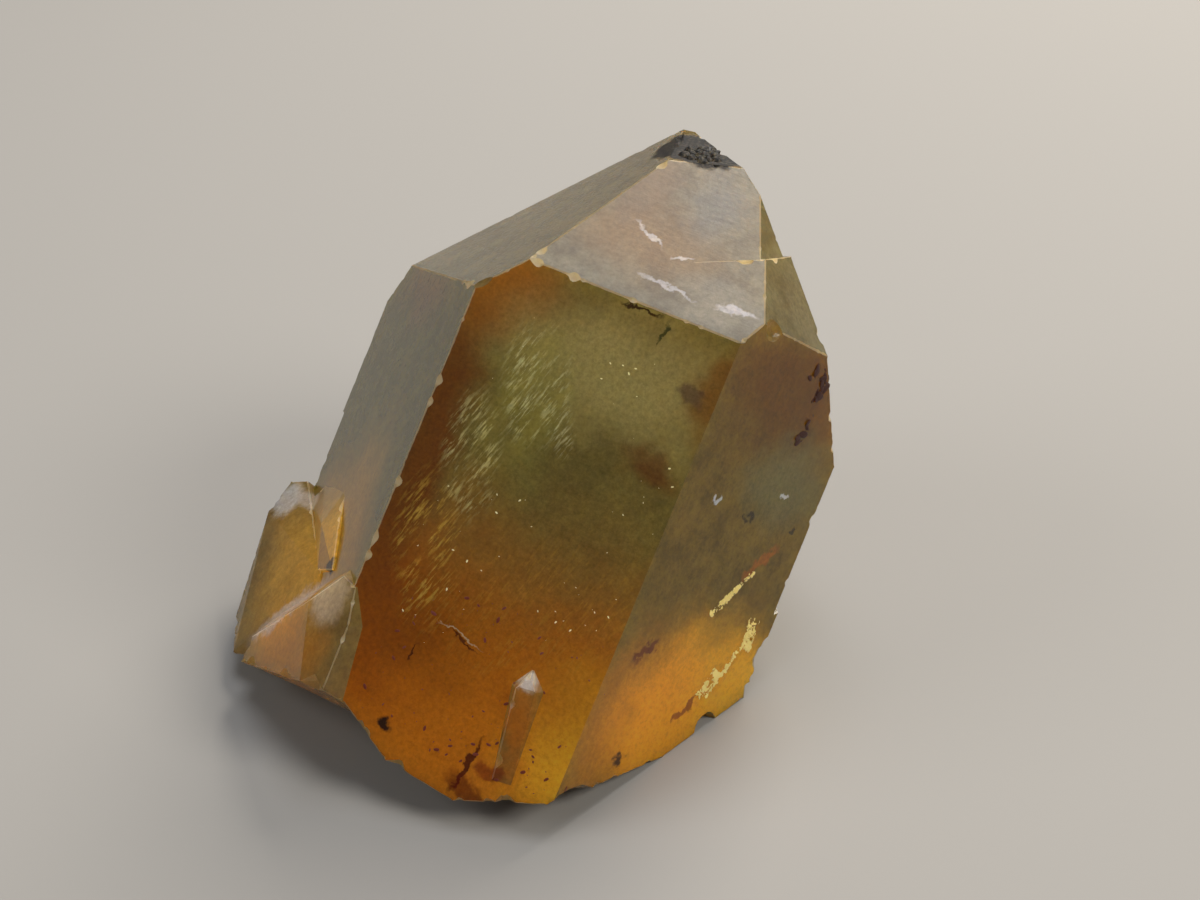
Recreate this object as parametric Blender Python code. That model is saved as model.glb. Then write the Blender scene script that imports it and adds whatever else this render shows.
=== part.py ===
"""Citrine crystal point: one stout quartz crystal with small crystals grown into its foot.

The crystal leans back on its broken base, as it stands on a table. Every flat face is a plane that
trims a block: six prism faces stand round the long axis, six point faces slope in to the tip, and
breaks, growth ledges and chips are more planes or shallow scoops. The small crystals at the foot
overlap the big one, so all of them are joined in one solid.

Crystal coordinates, in millimetres: X runs across the front face to the right, Y goes in from the
front face (the front face is at negative Y), and Z runs up the long axis from the point where that
axis meets the table. Part coordinates: +Z up, the resting face at z = 0, the origin at the middle
of the bounding box's bottom.
"""
from math import cos, radians, sin

import bmesh
import bpy
from mathutils import Matrix, Vector

MM = 0.001

# How the crystal stands: its long axis leans from the vertical towards a compass angle (from +X
# towards +Y), and the crystal is turned round that axis.
LEAN = 38.5
LEAN_TOWARDS = 52.7
TURN = -68.4

# Quartz: a prism face stands square to the axis, and a point face's normal is this far from it.
PRISM = 90.0
POINT = 51.79

# Compass angles round the axis, from the front face towards the right.
FRONT, RIGHT, BACK_RIGHT, BACK, BACK_LEFT, LEFT = 0.0, 60.0, 120.0, 180.0, -120.0, -60.0

# Distance of each prism face from the axis, and height at which each point face meets the axis.
PRISM_OUT = {FRONT: 15.8, RIGHT: 14.3, BACK_RIGHT: 14.2, BACK: 15.0, BACK_LEFT: 21.8, LEFT: 18.3}
POINT_TOP = {FRONT: 49.7, RIGHT: 49.75, BACK_RIGHT: 41.6, BACK: 45.4, BACK_LEFT: 50.7, LEFT: 49.65}

BLOCK = 160.0         # side of the block that the planes trim
WELD = 1e-7           # metres, for a cut by a plane
SPECK = 5e-6          # metres: points this close after a Boolean are one
FLAT_ANGLE = 0.3      # degrees: triangles flatter than this to each other become one face


def clear_scene():
    for old in list(bpy.data.objects):
        bpy.data.objects.remove(old, do_unlink=True)


def collection(name):
    made = bpy.data.collections.new(name)
    bpy.context.scene.collection.children.link(made)
    return made


def standing_frame():
    """Crystal coordinates, in metres, to the table's."""
    return (Matrix.Rotation(radians(LEAN_TOWARDS), 4, "Z")
            @ Matrix.Rotation(radians(LEAN), 4, "Y")
            @ Matrix.Rotation(radians(TURN), 4, "Z"))


def side_frame(across, inward, up, lean_right, lean_out):
    """A small crystal's own coordinates: where its axis starts, and how that leans from the big one's."""
    return (Matrix.Translation(Vector((across, inward, up)) * MM)
            @ Matrix.Rotation(radians(lean_right), 4, "Y")
            @ Matrix.Rotation(radians(lean_out), 4, "X"))


def face(compass, tilt, out):
    """A plane with its normal at a compass angle and a tilt from the axis, out mm from the origin."""
    normal = Vector((sin(radians(tilt)) * sin(radians(compass)),
                     -sin(radians(tilt)) * cos(radians(compass)),
                     cos(radians(tilt))))
    return normal * out * MM, normal


def point_face(compass, top, tilt=POINT):
    """A sloping face that meets the axis at the height top."""
    return face(compass, tilt, top * cos(radians(tilt)))


def through(first, second, third, away_from):
    """The plane through three points in mm, facing away from a fourth."""
    first, second, third, inside = (Vector(p) * MM for p in (first, second, third, away_from))
    normal = (second - first).cross(third - first).normalized()
    if normal.dot(inside - first) > 0:
        normal.negate()
    return first, normal


def turned_over(plane):
    return plane[0], -plane[1]


def object_of(name, bm, where, into):
    """A finished bmesh as an object in a collection, with its place in its mesh."""
    bm.transform(where)
    bmesh.ops.recalc_face_normals(bm, faces=bm.faces[:])
    mesh = bpy.data.meshes.new(name)
    bm.to_mesh(mesh)
    bm.free()
    made = bpy.data.objects.new(name, mesh)
    into.objects.link(made)
    return made


def faceted(name, planes, where, into):
    """The part of a big block that lies inside every plane."""
    bm = bmesh.new()
    bmesh.ops.create_cube(bm, size=BLOCK * MM)
    for point, normal in planes:
        everything = bm.verts[:] + bm.edges[:] + bm.faces[:]
        cut = bmesh.ops.bisect_plane(bm, geom=everything, dist=WELD, plane_co=point,
                                     plane_no=normal, clear_outer=True)
        rim = [item for item in cut["geom_cut"] if isinstance(item, bmesh.types.BMEdge)]
        if rim:
            bmesh.ops.contextual_create(bm, geom=rim)
    return object_of(name, bm, where, into)


def hull(name, corners, where, into):
    """The convex solid round a few corner points, for a small crystal with chipped faces."""
    bm = bmesh.new()
    for corner in corners:
        bm.verts.new(Vector(corner) * MM)
    made = bmesh.ops.convex_hull(bm, input=bm.verts[:])
    loose = [item for item in made["geom_interior"] if isinstance(item, bmesh.types.BMVert)]
    bmesh.ops.delete(bm, geom=loose, context="VERTS")
    bmesh.ops.dissolve_limit(bm, angle_limit=radians(2.0), verts=bm.verts[:], edges=bm.edges[:])
    return object_of(name, bm, where, into)


def ball(name, centre, radius, where, into, detail=3):
    """A round body, for a shell-shaped break or a lump."""
    bm = bmesh.new()
    bmesh.ops.create_icosphere(bm, subdivisions=detail, radius=radius * MM)
    bm.transform(Matrix.Translation(Vector(centre) * MM))
    return object_of(name, bm, where, into)


def combine(body, other, operation):
    """Joins or cuts with an exact Boolean, applies it, and welds the specks that it leaves."""
    step = body.modifiers.new(other.name, "BOOLEAN")
    step.object = other
    step.operation = operation
    step.solver = "EXACT"
    other.hide_render = True
    other.display_type = "WIRE"
    bpy.context.view_layer.update()
    evaluated = body.evaluated_get(bpy.context.evaluated_depsgraph_get())
    before, body.data = body.data, bpy.data.meshes.new_from_object(evaluated)
    body.modifiers.clear()
    bpy.data.meshes.remove(before)
    bm = bmesh.new()
    bm.from_mesh(body.data)
    bmesh.ops.remove_doubles(bm, verts=bm.verts[:], dist=SPECK)
    bmesh.ops.dissolve_degenerate(bm, edges=bm.edges[:], dist=SPECK)
    bmesh.ops.dissolve_limit(bm, angle_limit=radians(FLAT_ANGLE), verts=bm.verts[:],
                             edges=bm.edges[:])
    bm.to_mesh(body.data)
    bm.free()


# --- The big crystal ---------------------------------------------------------------------------

# The tip is broken off by one flat break that faces up and to the front.
TIP_BREAK = face(-20.0, 28.0, 39.8)

# A growth ledge runs across the right of the point: above it the crystal is a little smaller. On
# the front the step is nothing at the axis and grows to the right, so the ledge fades out.
LEDGE = through((2.0, -12.2, 34.2), (6.1, -10.6, 36.2), (7.3, -6.8, 37.4), away_from=(0, 0, 60))
LEDGE_STEP = {FRONT: -0.045, RIGHT: 0.35, BACK_RIGHT: 0.65}
LEDGE_TURN = {FRONT: 1.7, RIGHT: 0.0, BACK_RIGHT: 0.0}    # degrees

# The foot is broken off unevenly: each break passes through two points of the front or right edge
# and one point where it meets the table, in table coordinates.
FOOT_BREAKS = {
    "left_break": ((-12.8, -12.2, 7.1), (-9.9, -14.9, 4.2), (-12.0, 1.0, 0.0)),
    "middle_break": ((-9.9, -14.9, 4.2), (-5.0, -17.1, 2.35), (-6.0, -5.5, 0.0)),
    "front_break": ((-5.0, -17.1, 2.35), (2.0, -17.4, 2.6), (8.6, -11.7, 0.6)),
}
ABOVE_THE_FOOT = (5.0, 8.0, 25.0)


def big_crystal(where, into):
    planes = [face(compass, PRISM, out) for compass, out in PRISM_OUT.items()]
    planes += [point_face(compass, top) for compass, top in POINT_TOP.items()]
    planes.append(TIP_BREAK)
    return faceted("citrine_crystal", planes, where, into)


# Growth steps on the far side: on each face the crystal is thinner by a step beyond a slanting
# line, given as the three points that its riser passes through, and a point beyond it.
BACK_STEPS = {
    BACK: (0.55, ((-17.0, 15.0, 27.0), (8.0, 15.0, 18.5), (-4.0, 9.0, 25.5)), (0.0, 15.0, 60.0)),
    BACK_LEFT: (0.5, ((-23.0, 4.0, 13.0), (-16.5, 15.0, 8.0), (-15.0, 5.0, 9.0)), (-18.0, 8.0, -40.0)),
    BACK_RIGHT: (0.45, ((16.4, 0.0, 12.0), (7.8, 15.0, 21.0), (8.0, 5.0, 15.0)), (12.0, 8.0, 60.0)),
}


def above_ledge(compass):
    """What the crystal lacks above the ledge, outside one of its point faces."""
    point, normal = point_face(compass, POINT_TOP[compass])
    up_slope = Vector((0, cos(radians(POINT)), sin(radians(POINT))))
    turn = Matrix.Rotation(radians(LEDGE_TURN[compass]), 3, up_slope)
    return [turned_over((point - normal * LEDGE_STEP[compass] * MM, turn @ normal)), LEDGE]


def cut_ledges(body, where, into):
    for compass in LEDGE_STEP:
        name = f"above_ledge_{compass:.0f}"
        combine(body, faceted(name, above_ledge(compass), where, into), "DIFFERENCE")


def cut_back_steps(body, where, into):
    for compass, (step, riser, beyond) in BACK_STEPS.items():
        thinner = turned_over(face(compass, PRISM, PRISM_OUT[compass] - step))
        planes = [thinner, through(*riser, away_from=beyond)]
        combine(body, faceted(f"back_step_{compass:.0f}", planes, where, into), "DIFFERENCE")


def break_foot(body, table, into):
    """Takes away everything under each break."""
    for name, points in FOOT_BREAKS.items():
        broken = through(*points, away_from=ABOVE_THE_FOOT)
        combine(body, faceted(name, [turned_over(broken)], table, into), "DIFFERENCE")


# --- Small crystals grown into the foot ---------------------------------------------------------

# A chipped block of crystal stands out of the left edge at the foot. Its corners are in crystal
# coordinates, and its faces are the planes through them.
PEAK = (-13.5, -14.6, 3.2)
RIDGE = (-15.4, -13.4, 0.2)
RIDGE_BACK = (-14.5, -9.0, 3.4)
RIDGE_END = (-20.0, -7.6, -5.0)
SHOULDER_LEFT = (-14.0, -14.6, -0.6)
SHOULDER_RIGHT = (-11.1, -16.8, 0.2)
SHOULDER_TOP = (-12.1, -16.3, 2.7)
EDGE_RIGHT = (-10.3, -15.8, 0.4)
TOE_RIGHT = (-9.6, -15.8, -5.2)
TOE = (-12.8, -16.0, -6.0)
TOE_LEFT = (-20.2, -7.2, -7.2)
TOE_BACK = (-16.0, -3.0, -8.6)
INSIDE_BLOCK = (-13.5, -10.0, -2.0)
FRONT_BLOCK_FACES = (
    (PEAK, SHOULDER_RIGHT, SHOULDER_LEFT),
    (PEAK, SHOULDER_TOP, (-12.0, -9.0, 5.4)),
    (RIDGE, RIDGE_END, RIDGE_BACK),
    (RIDGE, RIDGE_END, TOE),
    (SHOULDER_LEFT, SHOULDER_RIGHT, TOE),
    (SHOULDER_TOP, SHOULDER_RIGHT, EDGE_RIGHT),
    (SHOULDER_RIGHT, EDGE_RIGHT, TOE_RIGHT),
    (TOE_RIGHT, TOE_LEFT, TOE_BACK),
    (RIDGE_END, TOE_LEFT, (-19.6, -3.0, -6.0)),
    ((-9.0, 0.0, 0.0), (-9.0, -9.0, 0.0), (-9.0, 0.0, 9.0)),
    ((0.0, -5.0, 0.0), (-9.0, -5.0, 0.0), (0.0, -5.0, 9.0)),
)

# Behind it, a block leans on the left edge, and a little step of crystal stands beside that one.
# Both are the convex solids round these corners; the inner ones are buried in the big crystal.
BACK_BLOCK = (
    (-25.0, 3.5, 6.1), (-23.6, 3.2, 6.7), (-25.4, 2.0, 3.3), (-21.7, 0.2, 4.6),
    (-16.8, -7.8, 1.6), (-24.6, 1.0, -0.7), (-23.6, -1.5, -5.2), (-21.8, -4.6, -7.3),
    (-22.0, 8.0, 3.8), (-21.5, 8.5, -1.5), (-12.0, 0.0, -2.0), (-14.0, 5.0, 4.0),
    (-14.0, 2.0, -8.0), (-20.5, 5.0, -5.5), (-18.0, -8.0, -7.0), (-15.0, -9.5, -1.0),
)
LITTLE_STEP = (
    (-22.4, 2.0, 5.6), (-21.2, 0.0, 7.2), (-18.1, -5.1, 8.1), (-16.7, -8.3, 5.3),
    (-18.9, -5.3, 4.9), (-15.4, -10.3, 2.6), (-17.1, -7.8, 1.8), (-12.0, -2.0, 5.0),
    (-12.0, -2.0, 0.0),
)


def left_blocks(where, into):
    planes = [through(*corners, away_from=INSIDE_BLOCK) for corners in FRONT_BLOCK_FACES]
    return [faceted("front_block", planes, where, into),
            hull("back_block", BACK_BLOCK, where, into),
            hull("little_step", LITTLE_STEP, where, into)]


# A finger-thin crystal lies along the front face near its foot, its tip standing proud.
SLIVER_AT = dict(across=4.7, inward=-12.85, up=-18.0, lean_right=-6.5, lean_out=6.5)
SLIVER_OUT = {FRONT: 1.55, RIGHT: 1.45, BACK_RIGHT: 1.5, BACK: 2.0, BACK_LEFT: 1.5, LEFT: 1.35}
SLIVER_TOP = {FRONT: 21.5, RIGHT: 21.3, BACK_RIGHT: 21.9, BACK: 22.4, BACK_LEFT: 21.6, LEFT: 21.1}


def sliver(where, into):
    planes = [face(compass, PRISM, out) for compass, out in SLIVER_OUT.items()]
    planes += [point_face(compass, top) for compass, top in SLIVER_TOP.items()]
    return faceted("sliver", planes, where @ side_frame(**SLIVER_AT), into)


# --- Breaks, chips and the mineral crust ----------------------------------------------------------

# Shell-shaped breaks: a ball's centre and radius, in crystal coordinates.
SCOOPS = {
    "notch_right_shoulder": ((9.6, -13.4, 31.7), 1.3),
    "chip_left_shoulder": ((-12.6, -16.6, 27.6), 1.75),
    "chip_back_right_edge": ((9.8, 18.5, 24.0), 4.7),
    "chip_back_left_edge": ((-19.6, 18.2, 14.0), 5.3),
    "chip_left_edge": ((-26.4, 5.2, 19.0), 3.9),
}
# Under the foot, in table coordinates.
FOOT_SCOOPS = {
    "chip_front_corner": ((4.6, -18.9, -0.4), 4.4),
    "scoop_left_foot": ((-17.0, -6.0, -12.6), 17.0),
    "scoop_back_foot": ((-8.0, 33.0, -4.0), 14.0),
}

# A crust of small dark lumps fills a shallow pit in the broken tip. It is laid out on the break,
# from a point in crystal coordinates, as seeds lie on a disc.
CRUST_AT = Vector((-2.1, -4.6, 42.4))
CRUST_WIDE = 1.35
CRUST_DEEP = 1.9
CRUST_LUMPS = 14
CRUST_LUMP = 0.55
PIT_RADIUS = 3.4
PIT_DEPTH = 0.35
GOLDEN_ANGLE = 137.5


def crust(body, where, into):
    point, up = TIP_BREAK
    centre = CRUST_AT - up * (CRUST_AT - point / MM).dot(up)
    across = Vector((1, 0, 0)) - up * up.x
    across.normalize()
    inward = up.cross(across)
    pit = centre + up * (PIT_RADIUS - PIT_DEPTH)
    combine(body, ball("crust_pit", pit, PIT_RADIUS, where, into), "DIFFERENCE")
    for number in range(CRUST_LUMPS):
        out = ((number + 0.5) / CRUST_LUMPS) ** 0.5
        angle = radians(GOLDEN_ANGLE * number)
        place = centre + across * CRUST_WIDE * out * cos(angle) + inward * CRUST_DEEP * out * sin(angle)
        size = CRUST_LUMP * (1.0 - 0.15 * (number % 3))
        sunk = up * 0.3 * size
        lump = ball(f"crust_lump_{number}", place - sunk, size, where, into, detail=2)
        combine(body, lump, "UNION")


def rest_flat(body, into):
    """Cuts the foot off level, so that the crystal stands on a flat of its own."""
    combine(body, faceted("table", [(Vector((0, 0, 0)), Vector((0, 0, 1)))], Matrix(), into),
            "DIFFERENCE")


# --- Material, assembly and place ------------------------------------------------------------------

def citrine():
    """Clear honey-brown quartz."""
    made = bpy.data.materials.new("citrine")
    made.use_nodes = True
    shader = made.node_tree.nodes["Principled BSDF"]
    shader.inputs["Base Color"].default_value = (0.42, 0.22, 0.05, 1.0)
    shader.inputs["Roughness"].default_value = 0.18
    shader.inputs["Metallic"].default_value = 0.0
    shader.inputs["IOR"].default_value = 1.544
    shader.inputs["Transmission Weight"].default_value = 0.8
    return made


def finish(body):
    """Moves the mesh so that it stands on the origin, and gives it its material."""
    mesh = body.data
    bm = bmesh.new()
    bm.from_mesh(mesh)
    bmesh.ops.triangulate(bm, faces=bm.faces[:])
    low = Vector(min(v.co[axis] for v in bm.verts) for axis in range(3))
    high = Vector(max(v.co[axis] for v in bm.verts) for axis in range(3))
    foot = Vector(((low.x + high.x) / 2, (low.y + high.y) / 2, low.z))
    bm.transform(Matrix.Translation(-foot))
    bm.to_mesh(mesh)
    bm.free()
    mesh.materials.clear()
    mesh.materials.append(citrine())
    print("size in mm:", [round(side / MM, 2) for side in high - low])
    print("axis foot in part coordinates, mm:", [round(side / MM, 3) for side in -foot])


def main():
    clear_scene()
    part = collection("citrine_point")
    helpers = collection("helpers")
    helpers.hide_render = True
    frame = standing_frame()
    table = Matrix()

    body = big_crystal(frame, part)
    cut_ledges(body, frame, helpers)
    cut_back_steps(body, frame, helpers)
    combine(body, sliver(frame, helpers), "UNION")
    break_foot(body, table, helpers)
    for block in left_blocks(frame, helpers):
        combine(body, block, "UNION")
    for name, (centre, radius) in SCOOPS.items():
        combine(body, ball(name, centre, radius, frame, helpers), "DIFFERENCE")
    for name, (centre, radius) in FOOT_SCOOPS.items():
        combine(body, ball(name, centre, radius, table, helpers), "DIFFERENCE")
    crust(body, frame, helpers)
    rest_flat(body, helpers)
    finish(body)


main()
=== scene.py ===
# %% [markdown]
# # Citrine crystal point
# The looks of one stout quartz crystal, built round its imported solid. Everything is in metres and
# in the solid's own frame: +Z up, the crystal standing on the floor at z = 0. The real thing is one
# grown piece of clear to cloudy honey-brown quartz. What makes it look real is what light does in
# it and on it: a tinted body, clouds and healed cracks inside, a frosted point, worn edges, iron
# stains and a dark crust on the tip. Each of those gets a cell of its own.

# %% Load the solid
import random
from math import cos, radians, sin

import bmesh
import bpy
from mathutils import Matrix, Vector, kdtree, noise
from mathutils.bvhtree import BVHTree


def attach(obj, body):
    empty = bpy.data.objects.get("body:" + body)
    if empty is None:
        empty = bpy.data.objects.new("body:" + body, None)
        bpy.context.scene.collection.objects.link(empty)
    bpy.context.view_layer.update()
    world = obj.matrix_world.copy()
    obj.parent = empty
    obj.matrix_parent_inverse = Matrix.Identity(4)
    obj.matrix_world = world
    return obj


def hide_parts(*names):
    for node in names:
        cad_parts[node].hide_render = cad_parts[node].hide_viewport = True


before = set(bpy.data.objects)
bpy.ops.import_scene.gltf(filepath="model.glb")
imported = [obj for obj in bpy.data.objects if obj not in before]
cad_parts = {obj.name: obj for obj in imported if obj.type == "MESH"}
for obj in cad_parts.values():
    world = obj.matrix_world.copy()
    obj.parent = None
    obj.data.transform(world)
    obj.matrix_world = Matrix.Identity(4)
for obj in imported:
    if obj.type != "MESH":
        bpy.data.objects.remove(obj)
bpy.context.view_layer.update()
MM = 0.001
print("solid:", list(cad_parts))

# %% [markdown]
# A crystal has directions of its own. Its faces lie at fixed angles to its long axis, so a place on
# it is easiest to give in crystal coordinates: millimetres across the broad front face to the
# right, inwards from the axis, and up along the axis. The same three angles that lean the solid
# make one matrix, which turns those into the solid's frame.

# %% Crystal coordinates
LEAN = 38.5            # degrees between the long axis and the vertical
LEAN_TOWARDS = 52.7    # compass angle that it leans towards, from +X to +Y
TURN = -68.4           # turn round the long axis
AXIS_FOOT = Vector((-0.034, -5.751, 0.0)) * MM
STAND = (Matrix.Translation(AXIS_FOOT)
         @ Matrix.Rotation(radians(LEAN_TOWARDS), 4, "Z")
         @ Matrix.Rotation(radians(LEAN), 4, "Y")
         @ Matrix.Rotation(radians(TURN), 4, "Z"))
TO_CRYSTAL = STAND.inverted()


def at(across, inward, up):
    """A place given in mm in crystal coordinates, in metres in the frame."""
    return STAND @ (Vector((across, inward, up)) * MM)


print("the tip is near", [round(c / MM, 1) for c in at(-2, -5, 43)])

# %% [markdown]
# A 60 mm lens a hand's width away looks down at 34 degrees, as one looks at a stone on a table. Its
# angles could be typed in, but it is easier to read where it looks: to_track_quat turns it along
# a direction. The point that it aims at is given from the foot of the long axis.

# %% Camera
LENS = 60.0
LOOK_DOWN = 34.0
DISTANCE = 142.86 * MM
AIM = AXIS_FOOT + Vector((5.6, -3.57, 23.6)) * MM


def linked(made):
    """Puts an object in the scene."""
    bpy.context.scene.collection.objects.link(made)
    return made


def camera():
    """The one camera, turned to look straight at its aim."""
    data = bpy.data.cameras.new("camera")
    data.lens = LENS
    data.clip_start = MM
    made = linked(bpy.data.objects.new("camera", data))
    away = Vector((0, -cos(radians(LOOK_DOWN)), sin(radians(LOOK_DOWN))))
    made.location = AIM + away * DISTANCE
    made.rotation_euler = (-away).to_track_quat("-Z", "Y").to_euler()
    bpy.context.scene.camera = made
    print("camera at", [round(c / MM, 1) for c in made.location])


camera()

# %% [markdown]
# Colours are written as the sRGB hex codes that a paint chart uses, and one function turns them to
# the linear numbers that light is added up in. One more adds a node, makes its settings, and sets
# or links its inputs, so that a material reads from top to bottom like a recipe.

# %% Helpers for colours, nodes and meshes


def linear(code):
    """An sRGB hex colour as linear numbers with a full alpha."""
    parts = [int(code[i:i + 2], 16) / 255 for i in (1, 3, 5)]
    return tuple(p / 12.92 if p <= 0.04045 else ((p + 0.055) / 1.055) ** 2.4 for p in parts) + (1.0,)


def add(tree, kind, inputs=None, **settings):
    """A node with its settings, and each input set, or linked if a node or a socket is given for it."""
    made = tree.nodes.new(kind)
    for name, value in settings.items():
        setattr(made, name, value)
    for socket, value in (inputs or {}).items():
        if isinstance(value, bpy.types.Node):
            value = value.outputs[0]
        if isinstance(value, bpy.types.NodeSocket):
            tree.links.new(value, made.inputs[socket])
        else:
            made.inputs[socket].default_value = value
    return made


def material(name):
    """An empty material and its node tree."""
    made = bpy.data.materials.new(name)
    made.use_nodes = True
    made.node_tree.nodes.clear()
    return made, made.node_tree


def object_of(name, bm, *materials):
    """A finished bmesh as an object at the origin."""
    mesh = bpy.data.meshes.new(name)
    bm.to_mesh(mesh)
    bm.free()
    for each in materials:
        mesh.materials.append(each)
    return linked(bpy.data.objects.new(name, mesh))


# %% [markdown]
# The floor is a sheet of pale matt paper, one square with a plain diffuse shader. It is far wider
# than the view, so no edge shows.

# %% Floor


def floor():
    """A wide sheet of pale matt paper."""
    paper, tree = material("pale_paper")
    shader = add(tree, "ShaderNodeBsdfDiffuse", {"Color": linear("#A5A29D")})
    add(tree, "ShaderNodeOutputMaterial", {"Surface": shader})
    bm = bmesh.new()
    bmesh.ops.create_grid(bm, x_segments=1, y_segments=1, size=3.0)
    object_of("floor", bm, paper)


floor()

# %% [markdown]
# A large soft lamp stands behind the stone and to its right, so that light comes through the stone
# towards the eye and the shadow falls to the front and left. A wider one hangs overhead, where the
# broad point face mirrors it. Two weaker ones lighten the sides. None stands where the front face
# would mirror it, because one looks into the stone through that face. In a studio each would be a
# soft box, and a round area lamp is just that. The room around gives a little light as well.

# %% Lamps
LAMP_DISTANCE = 0.5    # metres
ROOM_LIGHT = 0.12
MIDDLE = Vector((0, 0, 0.02))


def lamp(name, direction, size, watts, colour):
    """A round soft lamp that looks at the middle of the stone from a direction, its size in metres."""
    data = bpy.data.lights.new(name, "AREA")
    data.shape = "DISK"
    data.size = size
    data.energy = watts
    data.color = linear(colour)[:3]
    made = linked(bpy.data.objects.new(name, data))
    away = Vector(direction).normalized()
    made.location = MIDDLE + away * LAMP_DISTANCE
    made.rotation_euler = (-away).to_track_quat("-Z", "Y").to_euler()


lamp("key", (0.55, 0.9, 0.9), size=0.25, watts=2.4, colour="#FFF8EE")
lamp("overhead", (0.05, 0.2, 1.0), size=0.3, watts=0.9, colour="#F4F7FF")
lamp("side", (0.75, -0.35, 0.7), size=0.2, watts=1.2, colour="#FFFAF2")
lamp("fill", (-0.85, -0.15, 0.6), size=0.3, watts=0.55, colour="#FFFFFF")
world = bpy.data.worlds.new("studio")
world.use_nodes = True
world.node_tree.nodes["Background"].inputs["Color"].default_value = linear("#DDE0E6")
world.node_tree.nodes["Background"].inputs["Strength"].default_value = ROOM_LIGHT
bpy.context.scene.world = world

# %% [markdown]
# Quartz has six prism faces round its long axis and six point faces that close it. Each way out is
# known from two angles: a compass round the axis that starts at the front face, and a tilt from the
# axis. So a face can be told by its normal alone. A prism face is glossy and deep, a point face is
# etched and pale, and the back is clearer, so each kind gets a stone of its own further on.

# %% The kinds of face
POINT_TILT = 51.79
FACE_KINDS = {
    "front": (0, 90), "right": (60, 90), "left": (300, 90),
    "point_front": (0, POINT_TILT), "point_right": (60, POINT_TILT), "point_left": (300, POINT_TILT),
    "back": (180, 90), "back_right": (120, 90), "back_left": (240, 90),
    "point_back": (180, POINT_TILT), "point_back_right": (120, POINT_TILT),
    "point_back_left": (240, POINT_TILT),
}


def face_way(compass, tilt):
    """The way out of a face of the crystal, in the frame."""
    return STAND.to_3x3() @ Vector((sin(radians(tilt)) * sin(radians(compass)),
                                    -sin(radians(tilt)) * cos(radians(compass)), cos(radians(tilt))))


WAYS = {kind: face_way(*angles) for kind, angles in FACE_KINDS.items()}
print("the front face looks", [round(c, 2) for c in WAYS["front"]])

# %% [markdown]
# Citrine is quartz with a trace of iron, and this one is cloudy rather than clear. Its colour is a
# ground for each kind of face, dark to light, and over that a table of egg-shaped clouds at places
# in crystal millimetres: amber and rusty at the foot, which is partly the stone's colour and partly
# painted glow, golden at the lower right, which is painted glow where light comes out, and olive in
# the middle. Smaller marks with a firmer edge are given the same way: stains, pits, bruises and
# scratches, and near-white painted highlights on a few facets of the small crystals. "rest" is the
# small crystals and the broken foot, and "back" is every face behind.

# %% Colours of the stone
GROUNDS = {
    "front": ("#86743A", "#A08C44"),
    "left": ("#645A0C", "#827418"),
    "right": ("#806614", "#A6862A"),
    "point_front": ("#76664A", "#9C8C6C"),
    "point_left": ("#7A6A40", "#968456"),
    "point_right": ("#8C7A4A", "#A49464"),
    "back": ("#CC9A44", "#E8C068"),
    "rest": ("#94743A", "#AC8E4C"),
}

CLOUDS = [
    # the kinds of face that show it, centre and spans in mm, tilt, colour, strength
    # partly the stone's amber and partly painted glow of light gathering in the turbid foot
    ("front", (0, -16, -4), (30, 9, 15), 0, "#E08014", 0.95),
    ("front", (-10, -16, 1), (7, 9, 8), 0, "#A85808", 0.8),
    ("front", (-11.5, -16, 15), (3.0, 9, 13), 0, "#8C4A12", 0.85),
    ("front", (-10.5, -16, 27), (5.5, 9, 4.5), 0, "#BC7420", 0.85),
    ("front", (0, -16, 24.5), (9, 9, 5), 0, "#D8C474", 0.85),
    ("front", (-5.2, -16, 20.5), (3.2, 9, 6), 0, "#B4A850", 0.6),
    ("front", (7.8, -16, 26), (2.2, 9, 4.5), 0, "#98601C", 0.8),
    # painted glow: the lower right of the front face is golden where light comes out of the stone
    ("front", (9, -16, -2.5), (7, 9, 6), 0, "#FFB42C", 1.0),
    ("front", (4.7, -16, 19.2), (1.9, 9, 1.4), 0, "#7A3408", 0.6),
    # painted glow: the right foot is golden where light comes out of the stone
    ("right", (14, -4.5, 3.5), (3.5, 9, 8), 0, "#FFB824", 1.0),
    ("right", (11, -9, 0), (6.5, 10, 9), 0, "#FFA418", 1.0),
    ("right", (12, -8, 28), (9, 12, 5), 0, "#8A5804", 0.85),
    ("right", (13.5, -5.5, 21.5), (3.4, 8, 4.0), 0, "#96905A", 0.75),
    ("left", (-18, -5, 25), (6, 6, 3), 0, "#8C6024", 0.7),
    ("left", (-17, -6, 2), (9, 9, 9), 0, "#B8802C", 0.8),
    ("point_front", (-2, -12, 34), (6, 5, 3.5), 0, "#A87838", 0.55),
    ("point_front", (-4, -9, 39), (2.2, 4, 5), 0, "#94704C", 0.6),
    ("point_front", (1, -8, 39), (2.0, 4, 4.5), 0, "#88847C", 0.6),
    ("point_front", (5.5, -14.5, 31.5), (4.5, 3, 2.0), 0, "#B4A894", 0.4),
    ("rest left", (-23, -13, 4), (9, 12, 12), 0, "#FFB838", 0.95),
    ("rest back", (0, 0, -20), (30, 30, 14), 0, "#C46C10", 0.6),
    ("rest front", (2.4, -16.6, -2.5), (2.2, 1.2, 6), 0, "#E08420", 0.9),
    ("rest left", (-16, -12, -4), (5, 6, 4), 0, "#F0A030", 0.9),
    ("back", (5, 12, 2), (15, 14, 8), 0, "#FFB42C", 0.9),
    ("back", (-8, 6, 20), (7, 10, 8), 0, "#F8E8A0", 0.7),
    ("back", (8, 8, 28), (6, 9, 5), 0, "#8C5014", 0.7),
    ("back", (-13, 8, 8), (5, 7, 7), 0, "#A05A18", 0.7),
    ("back", (12, 4, 14), (4, 7, 6), 0, "#E8D48C", 0.6),
]
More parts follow.
